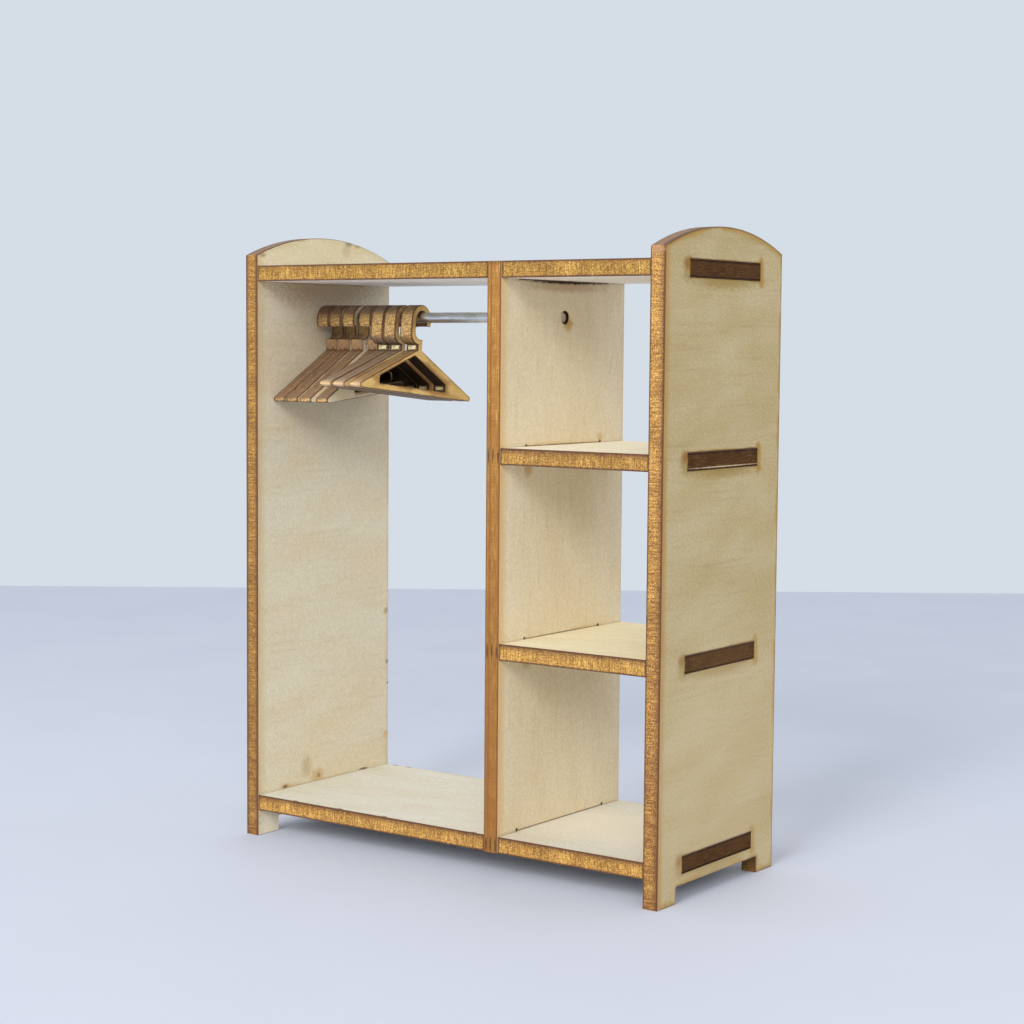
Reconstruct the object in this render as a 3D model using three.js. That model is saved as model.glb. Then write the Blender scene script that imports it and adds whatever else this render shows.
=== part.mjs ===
// Dollhouse wardrobe: a laser-cut plywood carcass that plugs together with tabs and slots,
// a loose steel hanging rod and seven plywood hangers.
// Millimetres. X runs to the right, Y to the back and Z up. The origin is on the floor,
// under the middle of the wardrobe.
import * as THREE from "three";

// The plywood sheet that every wooden piece is cut from
const plyThickness = 3;
const slotClearance = 0.1; // on each side of a tab or a horn in its slot

// The carcass
const wardrobeWidth = 95;
const wardrobeDepth = 40;
const boardSetback = 0.2; // the boards' long edges stay this far behind the uprights' edges
const bottomBoardUnderside = 5;
const lowerBayHeight = 32;
const middleBayHeight = 32;
const upperBayHeight = 30;
const shelfBayWidth = 31;
const tabLength = 24; // along the depth, the same on every board end
const crossNeckLength = 28; // what is left of a long board between its two cross-lap notches

// The side panels' outline
const cornerAboveTopBoard = 2;
const archRise = 4;
const footWidth = 6;
const footHeight = 3;
const footFilletRadius = 0.3;

// The hanging rod
const rodDiameter = 2;
const rodHoleDiameter = 2.5;
const rodBelowTopBoard = 6.7; // from the top board's underside to the rod's axis
const rodEndInset = 0.4; // the rod ends short of the outer faces that its holes open in
const rodChamfer = 0.15;

// A hanger, drawn on the sheet around the centre of its hook
const hookBoreRadius = 1.7;
const hookBand = 1.2;
const hookRestGap = 0.25; // between the rod's top and the hook that hangs on it
const hookMouthDepth = 1; // the hook's end is cut off level, this far below the bore's centre
const throatDepth = 2.2; // straight side of the hook below the bore, before it curves in
const throatRadius = 1.6;
const heelDepth = 2.6;
const heelRadius = 2.2;
const collarWidth = 1.2;
const collarHeight = 2.1;
const collarFrontHeight = 1.1;
const hangerSpan = 34;
const hangerHeight = 8.5; // from the foot of the collar to the bar's underside
const tipRadius = 0.5;
const barHeight = 1.15;
const closedArmWidth = 0.65; // beside the window, on the closed side of the hook
const openArmWidth = 1.85;
const windowEndHeight = 1.5;
const windowCornerRadius = 0.3;

// Free space to the left of each hanger, as shares of the ply thickness
const hangerGapShares = [0.035, 0.07, 0.13, 0.4, 0.1, 0.07, 0.37];
const hangersFacingFront = 4; // the first hangers open to the front, the rest to the back

const arcSegments = 10; // steps in a curve; a circular arc takes twice as many
const doubledPointDistance = 0.001;

// Heights and faces that several pieces share
const lowerShelfUnderside = bottomBoardUnderside + plyThickness + lowerBayHeight;
const upperShelfUnderside = lowerShelfUnderside + plyThickness + middleBayHeight;
const topBoardUnderside = upperShelfUnderside + plyThickness + upperBayHeight;
const topBoardTop = topBoardUnderside + plyThickness;
const halfDepth = wardrobeDepth / 2;
const outerFace = wardrobeWidth / 2;
const innerFace = outerFace - plyThickness;
const dividerRight = innerFace - shelfBayWidth;
const dividerLeft = dividerRight - plyThickness;
const rodHeight = topBoardUnderside - rodBelowTopBoard;

const sheetFinish = { color: 0xdccaa2, roughness: 0.75, metalness: 0 };
const hangerFinish = { color: 0xc09a5e, roughness: 0.7, metalness: 0 };
const steelFinish = { color: 0x9ea3a6, roughness: 0.4, metalness: 0.9 };

const wardrobe = new THREE.Group();

function addPiece(parent, name, geometry, finish) {
  const piece = new THREE.Mesh(geometry, new THREE.MeshStandardMaterial(finish));
  piece.name = name;
  parent.add(piece);
  return piece;
}

// Two curves that meet each bring their own end point, and one of the two goes.
function withoutDoubledPoints(loop) {
  return loop.filter((point, index) => point.distanceTo(loop.at(index - 1)) > doubledPointDistance);
}

// Every wooden piece is one outline cut through the sheet.
function cutFromSheet(outline) {
  const { shape, holes } = outline.extractPoints(arcSegments);
  const cleanOutline = new THREE.Shape(withoutDoubledPoints(shape));
  cleanOutline.holes = holes.map((hole) => new THREE.Path(withoutDoubledPoints(hole)));
  return new THREE.ExtrudeGeometry(cleanOutline, { depth: plyThickness, bevelEnabled: false });
}

// Stands a piece up: its outline's x runs to the back, its y upwards, its thickness to the right.
function standUp(piece, leftFace) {
  piece.rotation.set(Math.PI / 2, Math.PI / 2, 0);
  piece.position.x = leftFace;
}

function tabSlot(underside) {
  const halfLength = tabLength / 2 + slotClearance;
  const bottom = underside - slotClearance;
  const top = underside + plyThickness + slotClearance;
  return new THREE.Path()
    .moveTo(-halfLength, bottom)
    .lineTo(-halfLength, top)
    .lineTo(halfLength, top)
    .lineTo(halfLength, bottom)
    .closePath();
}

function rodHole() {
  return new THREE.Path().absarc(0, rodHeight, rodHoleDiameter / 2, 0, 2 * Math.PI, true);
}

// Side panels: two feet with a low cut-out between them and a shallow arch on top.
function sidePanelOutline(boardUndersides) {
  const cutOut = halfDepth - footWidth;
  const cornerHeight = topBoardTop + cornerAboveTopBoard;
  const archRadius = (halfDepth ** 2 + archRise ** 2) / (2 * archRise);
  const archCentre = cornerHeight + archRise - archRadius;
  const archStart = Math.atan2(cornerHeight - archCentre, halfDepth);
  const outline = new THREE.Shape()
    .moveTo(-halfDepth, 0)
    .lineTo(-cutOut, 0)
    .absarc(
      -cutOut + footFilletRadius, footHeight - footFilletRadius, footFilletRadius,
      Math.PI, Math.PI / 2, true,
    )
    .absarc(
      cutOut - footFilletRadius, footHeight - footFilletRadius, footFilletRadius,
      Math.PI / 2, 0, true,
    )
    .lineTo(cutOut, 0)
    .lineTo(halfDepth, 0)
    .lineTo(halfDepth, cornerHeight)
    .absarc(0, archCentre, archRadius, archStart, Math.PI - archStart, false)
    .closePath();
  outline.holes.push(...boardUndersides.map(tabSlot));
  return outline;
}

const leftOutline = sidePanelOutline([bottomBoardUnderside, topBoardUnderside]);
leftOutline.holes.push(rodHole());
const leftSide = addPiece(wardrobe, "left_side_panel", cutFromSheet(leftOutline), sheetFinish);
standUp(leftSide, -outerFace);

const rightOutline = sidePanelOutline([
  bottomBoardUnderside,
  lowerShelfUnderside,
  upperShelfUnderside,
  topBoardUnderside,
]);
const rightSide = addPiece(wardrobe, "right_side_panel", cutFromSheet(rightOutline), sheetFinish);
standUp(rightSide, innerFace);

// Divider: its middle stops at the two long boards, and its four horns run past them
// in the boards' notches.
function dividerOutline() {
  const hornFace = crossNeckLength / 2 + slotClearance;
  const lowerEdge = bottomBoardUnderside + plyThickness + slotClearance;
  const upperEdge = topBoardUnderside - slotClearance;
  const outline = new THREE.Shape()
    .moveTo(-halfDepth, bottomBoardUnderside)
    .lineTo(-hornFace, bottomBoardUnderside)
    .lineTo(-hornFace, lowerEdge)
    .lineTo(hornFace, lowerEdge)
    .lineTo(hornFace, bottomBoardUnderside)
    .lineTo(halfDepth, bottomBoardUnderside)
    .lineTo(halfDepth, topBoardTop)
    .lineTo(hornFace, topBoardTop)
    .lineTo(hornFace, upperEdge)
    .lineTo(-hornFace, upperEdge)
    .lineTo(-hornFace, topBoardTop)
    .lineTo(-halfDepth, topBoardTop)
    .closePath();
  outline.holes.push(tabSlot(lowerShelfUnderside), tabSlot(upperShelfUnderside), rodHole());
  return outline;
}

const divider = addPiece(wardrobe, "divider", cutFromSheet(dividerOutline()), sheetFinish);
standUp(divider, dividerLeft);

// Boards: shoulders that butt against the uprights, with a through tab at each end.
// A long board also has a notch in each long edge for the divider's horns.
function boardOutline(leftShoulder, rightShoulder, isCrossLapped) {
  const edge = halfDepth - boardSetback;
  const tabSide = tabLength / 2;
  const neckSide = crossNeckLength / 2;
  const notchLeft = dividerLeft - slotClearance;
  const notchRight = dividerRight + slotClearance;
  const outline = new THREE.Shape().moveTo(leftShoulder, -edge);
  if (isCrossLapped) {
    outline
      .lineTo(notchLeft, -edge)
      .lineTo(notchLeft, -neckSide)
      .lineTo(notchRight, -neckSide)
      .lineTo(notchRight, -edge);
  }
  outline
    .lineTo(rightShoulder, -edge)
    .lineTo(rightShoulder, -tabSide)
    .lineTo(rightShoulder + plyThickness, -tabSide)
    .lineTo(rightShoulder + plyThickness, tabSide)
    .lineTo(rightShoulder, tabSide)
    .lineTo(rightShoulder, edge);
  if (isCrossLapped) {
    outline
      .lineTo(notchRight, edge)
      .lineTo(notchRight, neckSide)
      .lineTo(notchLeft, neckSide)
      .lineTo(notchLeft, edge);
  }
  return outline
    .lineTo(leftShoulder, edge)
    .lineTo(leftShoulder, tabSide)
    .lineTo(leftShoulder - plyThickness, tabSide)
    .lineTo(leftShoulder - plyThickness, -tabSide)
    .lineTo(leftShoulder, -tabSide)
    .closePath();
}

function addBoard(name, outline, underside) {
  addPiece(wardrobe, name, cutFromSheet(outline), sheetFinish).position.z = underside;
}

addBoard("bottom_board", boardOutline(-innerFace, innerFace, true), bottomBoardUnderside);
addBoard("top_board", boardOutline(-innerFace, innerFace, true), topBoardUnderside);
addBoard("lower_shelf", boardOutline(dividerRight, innerFace, false), lowerShelfUnderside);
addBoard("upper_shelf", boardOutline(dividerRight, innerFace, false), upperShelfUnderside);

// Hanging rod: a plain steel pin with broken edges, turned about its own length.
function rodGeometry(length) {
  const radius = rodDiameter / 2;
  const profile = [
    new THREE.Vector2(0, 0),
    new THREE.Vector2(radius - rodChamfer, 0),
    new THREE.Vector2(radius, rodChamfer),
    new THREE.Vector2(radius, length - rodChamfer),
    new THREE.Vector2(radius - rodChamfer, length),
    new THREE.Vector2(0, length),
  ];
  return new THREE.LatheGeometry(profile, 3 * arcSegments);
}

const rodLeftEnd = -outerFace + rodEndInset;
const rodRightEnd = dividerRight - rodEndInset;
const rod = addPiece(wardrobe, "hanging_rod", rodGeometry(rodRightEnd - rodLeftEnd), steelFinish);
rod.rotation.z = -Math.PI / 2;
rod.position.set(rodLeftEnd, 0, rodHeight);

// Where the straight shoulder from a collar corner meets the round tip of the arm:
// the direction of the circle's radius to that point.
function shoulderAngle(cornerX, cornerY, tipX, tipY) {
  const reach = Math.hypot(tipX - cornerX, tipY - cornerY);
  const direction = Math.atan2(tipY - cornerY, tipX - cornerX) + Math.asin(tipRadius / reach);
  return direction + Math.PI / 2;
}

// The triangular window: its sloping sides run along the shoulders, its two lower corners are
// cut off square and every corner is rounded.
function hangerWindow(collarFoot, tipAngle, barTop) {
  const drop = Math.tan(Math.PI / 2 - tipAngle);
  const peak = collarFoot + drop * collarWidth / 2;
  const closedLine = peak - closedArmWidth / Math.sin(tipAngle);
  const openLine = peak - openArmWidth / Math.sin(tipAngle);
  const endTop = barTop + windowEndHeight;
  const closedEnd = (endTop - closedLine) / drop;
  const openEnd = (openLine - endTop) / drop;
  const corners = [
    new THREE.Vector2((openLine - closedLine) / (2 * drop), (openLine + closedLine) / 2),
    new THREE.Vector2(closedEnd, endTop),
    new THREE.Vector2(closedEnd, barTop),
    new THREE.Vector2(openEnd, barTop),
    new THREE.Vector2(openEnd, endTop),
  ];
  const path = new THREE.Path();
  corners.forEach((corner, index) => {
    const before = corners.at(index - 1);
    const after = corners[(index + 1) % corners.length];
    const entry = before.clone().sub(corner).setLength(windowCornerRadius).add(corner);
    const leave = after.clone().sub(corner).setLength(windowCornerRadius).add(corner);
    if (index === 0) {
      path.moveTo(entry.x, entry.y);
    } else {
      path.lineTo(entry.x, entry.y);
    }
    path.quadraticCurveTo(corner.x, corner.y, leave.x, leave.y);
  });
  return path.closePath();
}

// A hanger's outline: closed side of the hook to the left, mouth to the right.
function hangerOutline() {
  const hookRadius = hookBoreRadius + hookBand;
  const halfCollar = collarWidth / 2;
  const collarTop = -throatDepth - throatRadius;
  const collarFoot = collarTop - collarHeight;
  const underside = collarFoot - hangerHeight;
  const tipX = hangerSpan / 2 - tipRadius;
  const tipY = underside + tipRadius;
  const tipAngle = shoulderAngle(halfCollar, collarFoot, tipX, tipY);
  const outerMouthAngle = -Math.asin(hookMouthDepth / hookRadius);
  const innerMouthAngle = -Math.asin(hookMouthDepth / hookBoreRadius);
  const outline = new THREE.Shape()
    .moveTo(halfCollar, collarTop)
    .lineTo(halfCollar, collarFoot)
    .absarc(tipX, tipY, tipRadius, tipAngle, -Math.PI / 2, true)
    .absarc(-tipX, tipY, tipRadius, -Math.PI / 2, Math.PI - tipAngle, true)
    .lineTo(-halfCollar, collarFoot)
    .lineTo(-halfCollar, collarFoot + collarFrontHeight)
    .absarc(-hookRadius + heelRadius, -heelDepth, heelRadius, -Math.PI / 2, Math.PI, true)
    .absarc(0, 0, hookRadius, Math.PI, outerMouthAngle, true)
    .absarc(0, 0, hookBoreRadius, innerMouthAngle, Math.PI, false)
    .absarc(
      throatRadius - hookBoreRadius, -throatDepth, throatRadius,
      Math.PI, 1.5 * Math.PI, false,
    )
    .closePath();
  outline.holes.push(hangerWindow(collarFoot, tipAngle, underside + barHeight));
  return outline;
}

// The off-centre window leaves one arm heavier, so a hanger tips until its centre of mass
// is under the hook's centre.
function balanceTilt(outline) {
  const { shape, holes } = outline.extractPoints(arcSegments);
  let area = 0;
  let momentX = 0;
  let momentY = 0;
  for (const loop of [shape, ...holes]) {
    const sense = loop === shape ? 1 : -1;
    const turn = sense * Math.sign(THREE.ShapeUtils.area(loop));
    loop.forEach((point, index) => {
      const next = loop[(index + 1) % loop.length];
      const cross = turn * point.cross(next);
      area += cross / 2;
      momentX += cross * (point.x + next.x) / 6;
      momentY += cross * (point.y + next.y) / 6;
    });
  }
  return Math.atan2(momentX / area, -momentY / area);
}

const hangerShape = hangerOutline();
const hangTilt = balanceTilt(hangerShape);
const hookCentreHeight = rodHeight + rodDiameter / 2 + hookRestGap - hookBoreRadius;

let freeFrom = -innerFace;
hangerGapShares.forEach((gapShare, index) => {
  const middle = freeFrom + gapShare * plyThickness + plyThickness / 2;
  const opensToFront = index < hangersFacingFront;
  const swing = new THREE.Group();
  swing.position.set(middle, 0, hookCentreHeight);
  swing.rotation.x = opensToFront ? hangTilt : -hangTilt;
  const facing = new THREE.Group();
  facing.rotation.z = opensToFront ? Math.PI : 0;
  const hanger = addPiece(facing, `hanger_${index + 1}`, cutFromSheet(hangerShape), hangerFinish);
  standUp(hanger, -plyThickness / 2);
  swing.add(facing);
  wardrobe.add(swing);
  freeFrom = middle + plyThickness / 2;
});

export default wardrobe;
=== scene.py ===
# A doll's house wardrobe of laser-cut plywood that plugs together with tabs and slots, with a loose
# steel rod and seven plywood hangers. The sections follow the order in which it is put together.
import math

import bmesh
import bpy
import numpy as np
from mathutils import Matrix, Vector


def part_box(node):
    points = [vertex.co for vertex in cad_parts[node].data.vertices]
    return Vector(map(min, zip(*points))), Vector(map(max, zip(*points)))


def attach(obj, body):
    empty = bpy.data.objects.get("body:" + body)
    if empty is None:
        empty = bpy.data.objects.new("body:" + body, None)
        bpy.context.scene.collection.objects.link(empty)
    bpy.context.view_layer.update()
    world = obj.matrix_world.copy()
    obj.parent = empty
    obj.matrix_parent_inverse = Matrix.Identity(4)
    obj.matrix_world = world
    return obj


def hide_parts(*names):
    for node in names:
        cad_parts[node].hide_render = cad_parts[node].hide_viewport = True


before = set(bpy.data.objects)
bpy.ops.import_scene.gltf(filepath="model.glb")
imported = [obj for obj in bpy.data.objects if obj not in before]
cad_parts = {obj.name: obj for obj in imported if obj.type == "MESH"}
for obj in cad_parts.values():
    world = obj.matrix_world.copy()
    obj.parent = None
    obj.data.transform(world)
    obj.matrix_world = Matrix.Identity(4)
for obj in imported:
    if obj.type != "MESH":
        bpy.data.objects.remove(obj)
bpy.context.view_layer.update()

# Left side panel
# An upright of 3 mm plywood with a low arched top and two feet. A laser cuts its outline, the two
# slots for the tabs of the top and bottom boards, and the hole that the rod lies in.

mm = 0.001
ply = 3.0
arris = 0.08  # the laser leaves the sharp edges of the sheet a little burnt away
opening_share = 0.6  # by this share less round an opening
touching = 0.0005
slot_clearance = 0.1
outer_face = 47.5
inner_face = outer_face - ply
half_depth = 20.0
half_height = 58.0  # about halfway up
corner_height = 113.0
arch_rise = 4.0
foot_width = 6.0
foot_height = 3.0
foot_fillet = 0.3
tab_side = 12.0
bottom_board = 5.0  # each board's and shelf's height is that of its underside
top_board = 108.0
rod_height = 101.3
rod_hole_radius = 1.25
rod_hole_steps = 40
degrees_in_a_step = 3.0
grid_step = 1.5  # the faces' meshes note every so often how far the nearest cut is
panel_rings = (arris, 0.17, 0.25, 0.4)
face_material, cut_material = 0, 1
sharp_turn = math.radians(25)  # the shading breaks where the surface turns by more than this


def follow(sheet, start, *cuts):
    """Cuts a closed outline: (x, y) is a straight cut to that point, (x, y, degrees) an arc about it."""
    if "burnt" not in sheet.verts.layers.float:
        sheet.verts.layers.float.new("burnt")
    already = set(sheet.verts)
    tip = bmesh.ops.create_vert(sheet, co=(*start, 0))["vert"][0]
    for x, y, *turn in cuts:
        if turn:
            steps = max(3, math.ceil(abs(turn[0]) / degrees_in_a_step))
            swept = bmesh.ops.spin(
                sheet, geom=[tip], cent=(x, y, 0), axis=(0, 0, 1), angle=math.radians(turn[0]), steps=steps
            )
            tip = [part for part in swept["geom_last"] if isinstance(part, bmesh.types.BMVert)][0]
        else:
            tip = bmesh.ops.extrude_vert_indiv(sheet, verts=[tip])["verts"][0]
            tip.co = (x, y, 0)
    bmesh.ops.remove_doubles(sheet, verts=sheet.verts, dist=touching)
    return [corner for corner in sheet.verts if corner not in already]


def pierce(sheet, corners):
    """Notes that these corners belong to an opening, where the laser burns the walls darker."""
    burnt = sheet.verts.layers.float["burnt"]
    for corner in corners:
        corner[burnt] = 1.0


def tab_slot(sheet, underside, play=slot_clearance):
    reach = tab_side + play
    low, high = underside - play, underside + ply + play
    pierce(sheet, follow(sheet, (-reach, low), (reach, low), (reach, high), (-reach, high), (-reach, low)))


def rod_hole(sheet):
    circle = bmesh.ops.create_circle(
        sheet, segments=rod_hole_steps, radius=rod_hole_radius, matrix=Matrix.Translation((0, rod_height, 0))
    )
    pierce(sheet, circle["verts"])


def cut_from_sheet(sheet, rings):
    """Fills the outline, steps in from every cut, and gives the sheet its thickness and broken edges."""
    starts = np.array([edge.verts[0].co[:2] for edge in sheet.edges])
    runs = np.array([edge.verts[1].co[:2] for edge in sheet.edges]) - starts
    bmesh.ops.triangle_fill(sheet, use_beauty=True, edges=sheet.edges)
    heart = sheet.faces[:]
    for ring in rings:
        bmesh.ops.inset_region(sheet, faces=heart, thickness=ring, use_boundary=True, use_even_offset=True)
    inner_rim = [edge for edge in sheet.edges if len({face in heart for face in edge.link_faces}) == 2]
    bmesh.ops.delete(sheet, geom=heart, context="FACES")
    filled = bmesh.ops.triangle_fill(sheet, use_beauty=True, edges=inner_rim)["geom"]
    for along in (Vector((1, 0, 0)), Vector((0, 1, 0))):
        places = [corner.co @ along for corner in sheet.verts]
        line = math.ceil(min(places) / grid_step) * grid_step
        while line < max(places):
            heart = [face for face in filled if isinstance(face, bmesh.types.BMFace)]
            parts = {part for face in heart for part in (*face.verts, *face.edges, face)}
            if line:
                filled = bmesh.ops.bisect_plane(
                    sheet, geom=list(parts), dist=touching, plane_co=line * along, plane_no=along
                )["geom"]
            line += grid_step
    from_cut = sheet.verts.layers.float.new("from_cut")
    for corner in sheet.verts:
        offset = np.array(corner.co[:2]) - starts
        share = np.clip((offset * runs).sum(1) / (runs**2).sum(1), 0, 1)[:, None]
        corner[from_cut] = np.hypot(*(offset - share * runs).T).min()
    upper = bmesh.ops.extrude_face_region(sheet, geom=sheet.faces[:], use_keep_orig=True)["geom"]
    raised = [part for part in upper if isinstance(part, bmesh.types.BMVert)]
    bmesh.ops.translate(sheet, vec=(0, 0, ply), verts=raised)
    burnt = sheet.verts.layers.float["burnt"]
    for corner in sheet.verts:
        if corner[from_cut] < touching:
            worn = arris * (1 - opening_share * corner[burnt])
            corner.co.z += worn if corner.co.z < ply / 2 else -worn
    bmesh.ops.recalc_face_normals(sheet, faces=sheet.faces)
    # how far each face turns to the sheet's y, which is upwards in uprights and hangers; there flat-lying cut
    # edges get painted shade
    lying_flat = sheet.faces.layers.float.new("lying_flat")
    for face in sheet.faces:
        face.smooth = True
        face.material_index = face_material if abs(face.normal.z) > 0.9 else cut_material
        face[lying_flat] = abs(face.normal.y)
    for edge in sheet.edges:
        edge.smooth = edge.calc_face_angle(0) < sharp_turn


def upright(left_face):
    """Stands a sheet up: its x runs to the back, its y upwards and its thickness to the right."""
    return Matrix(((0, 0, mm, left_face * mm), (mm, 0, 0, 0), (0, mm, 0, 0), (0, 0, 0, 1)))


def finished(shape, name, placing, *materials):
    bmesh.ops.transform(shape, matrix=placing, verts=shape.verts)
    mesh = bpy.data.meshes.new(name)
    shape.to_mesh(mesh)
    shape.free()
    for material in materials:
        mesh.materials.append(material)
    piece = bpy.data.objects.new(name, mesh)
    bpy.context.scene.collection.objects.link(piece)
    return piece


def colour(red, green, blue):
    """A colour as a screen shows it, from 0 to 255, as the light that it stands for."""
    def light(value):
        value /= 255
        return value / 12.92 if value <= 0.04045 else ((value + 0.055) / 1.055) ** 2.4
    return (light(red), light(green), light(blue), 1.0)


def toned(shade, factor, most=1.0):
    """The same colour with so many times its light."""
    return [min(most, factor * part) for part in shade[:3]] + [1.0]


def add_node(tree, kind, inputs, **settings):
    """Adds a shader node and joins or sets its inputs."""
    made = tree.nodes.new("ShaderNode" + kind)
    for setting, value in settings.items():
        setattr(made, setting, value)
    for socket, value in (inputs or {}).items():
        if isinstance(value, bpy.types.NodeSocket):
            tree.links.new(value, made.inputs[socket])
        else:
            made.inputs[socket].default_value = value
    return made


class Finish:
    """A surface finish: layers of colour and relief over the piece's own coordinates."""

    def __init__(self, name, centre, roughness):
        self.material = bpy.data.materials.new(name)
        self.material.use_nodes = True
        self.tree = self.material.node_tree
        self.shader = self.tree.nodes["Principled BSDF"]
        self.shader.inputs["Roughness"].default_value = roughness
        self.object_place = self.node("TexCoord").outputs["Object"]
        self.place = self.around(centre, (1, 1, 1))

    def node(self, kind, inputs=None, **settings):
        return add_node(self.tree, kind, inputs, **settings)

    def around(self, centre, size):
        """Coordinates about a point, in the sizes given, all in millimetres."""
        inputs = {
            "Vector": self.object_place, "Location": [where * mm for where in centre],
            "Scale": [reach * mm for reach in size],
        }
        return self.node("Mapping", inputs, vector_type="TEXTURE").outputs[0]

    def stretched(self, factors):
        return self.node("Mapping", {"Vector": self.place, "Scale": factors}, vector_type="POINT").outputs[0]

    def cloud(self, size, where=None, detail=2.0, rough=0.5):
        """Soft random value with features of about that many millimetres."""
        inputs = {"Vector": where or self.place, "Scale": 1 / size, "Detail": detail, "Roughness": rough}
        return self.node("TexNoise", inputs).outputs[0]

    def total(self, *parts):
        """Adds values up, each as many times as its weight says."""
        result = 0.0
        for value, weight in parts:
            result = self.node("Math", {0: value, 1: weight, 2: result}, operation="MULTIPLY_ADD").outputs[0]
        return result

    def math(self, operation, first, second):
        return self.node("Math", {0: first, 1: second}, operation=operation).outputs[0]

    def ramp(self, value, start, end, low=0.0, high=1.0):
        inputs = {"Value": value, "From Min": start, "From Max": end, "To Min": low, "To Max": high}
        return self.node("MapRange", inputs, interpolation_type="SMOOTHSTEP").outputs[0]

    def mix(self, amount, under, over, blend="MIX"):
        return self.node("Mix", {0: amount, 6: under, 7: over}, data_type="RGBA", blend_type=blend).outputs[2]

    def attribute(self, name):
        return self.node("Attribute", attribute_name=name).outputs["Fac"]

    def stain(self, wood, spots):
        """Lays ragged spots over the wood, each with its place, its reach each way, colour and strength."""
        ragged = self.cloud(0.7, detail=3.0)
        for where, size, soot, strength in spots:
            away = self.node("VectorMath", {0: self.around(where, size)}, operation="LENGTH")
            frayed = self.total((away.outputs["Value"], 1.0), (ragged, 0.9))
            wood = self.mix(self.ramp(frayed, 0.75, 1.7, strength, 0.0), wood, soot)
        return wood

    def relief(self, height, depth):
        """Raises and sinks the surface by up to that many millimetres."""
        bump = self.node("Bump", {"Height": height, "Distance": depth * mm, "Strength": 1.0})
        self.tree.links.new(bump.outputs[0], self.shader.inputs["Normal"])

    def paint(self, layer):
        self.tree.links.new(layer, self.shader.inputs["Base Color"])
        return self.material


def veneer(
    name, centre, along, pale, warm, scorch, rim, spots=(), *, smoky, burn, streak=0.12, fibre=0.05,
    reach=1.3, opening_reach=1.3, smoky_openings=1.0, rim_reach=0.46, slant=0.0, fleck=1.0, grit=0.45,
):
    """The pale face of the sheet: its grain runs along one axis, and it is scorched beside the cuts."""
    finish = Finish(name, centre, 0.7)
    finish.shader.inputs["Specular IOR Level"].default_value = 0.3
    grain_place = finish.stretched([fibre if axis == along else 1.0 for axis in range(3)])
    lean = math.radians(12)
    bands = finish.node("Mapping", {
        "Vector": finish.place, "Rotation": (lean, 0, lean),
        "Scale": [3.0 if axis == along else 1.0 for axis in range(3)],
    }, vector_type="TEXTURE").outputs[0]
    patches = finish.cloud(7.0, bands, detail=3.0)
    streaks = finish.cloud(0.9, grain_place, detail=4.0, rough=0.6)
    flecks = finish.node("Mapping", {
        "Vector": finish.place, "Rotation": (math.radians(slant), 0, 0), "Scale": (1, fleck, 1),
    }, vector_type="TEXTURE").outputs[0]
    pebbles = finish.cloud(0.42 / math.sqrt(fleck), flecks, detail=3.0, rough=0.65)
    wood = finish.mix(finish.ramp(patches, 0.3, 0.7), pale, warm)
    wood = finish.mix(finish.ramp(streaks, 0.48, 0.8, 0.0, streak * 2), wood, warm, "MULTIPLY")
    wood = finish.mix(finish.ramp(pebbles, 0.32, 0.6, 0.26 * grit, 0.0), wood, colour(128, 102, 64))
    wood = finish.mix(finish.ramp(pebbles, 0.5, 0.72, 0.0, 0.6 * grit), wood, toned(pale, 1.25, 0.95))
    ragged = finish.cloud(1.5, detail=3.0)
    smoke = finish.ramp(finish.cloud(6.0), 0.35, 0.65, 0.4, 1.4)
    depth = finish.total((finish.attribute("from_cut"), 1.0), (ragged, 0.5))
    beside_opening = finish.attribute("burnt")
    reach_here = finish.ramp(beside_opening, 0.0, 1.0, reach, opening_reach)
    halo = finish.ramp(finish.math("DIVIDE", depth, smoke), 0.3, reach_here, 0.9, 0.0)
    smokiness = finish.ramp(beside_opening, 0.0, 1.0, smoky, smoky_openings)
    wood = finish.mix(finish.math("MULTIPLY", halo, smokiness), wood, scorch)
    line = finish.ramp(depth, 0.22, rim_reach)
    wood = finish.mix(finish.math("MULTIPLY", finish.math("SUBTRACT", 1.0, line), burn), wood, rim)
    wood = finish.stain(wood, spots)
    finish.relief(finish.total((pebbles, 1.0), (streaks, 0.6)), 0.05 * grit)
    return finish.paint(wood)


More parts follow.
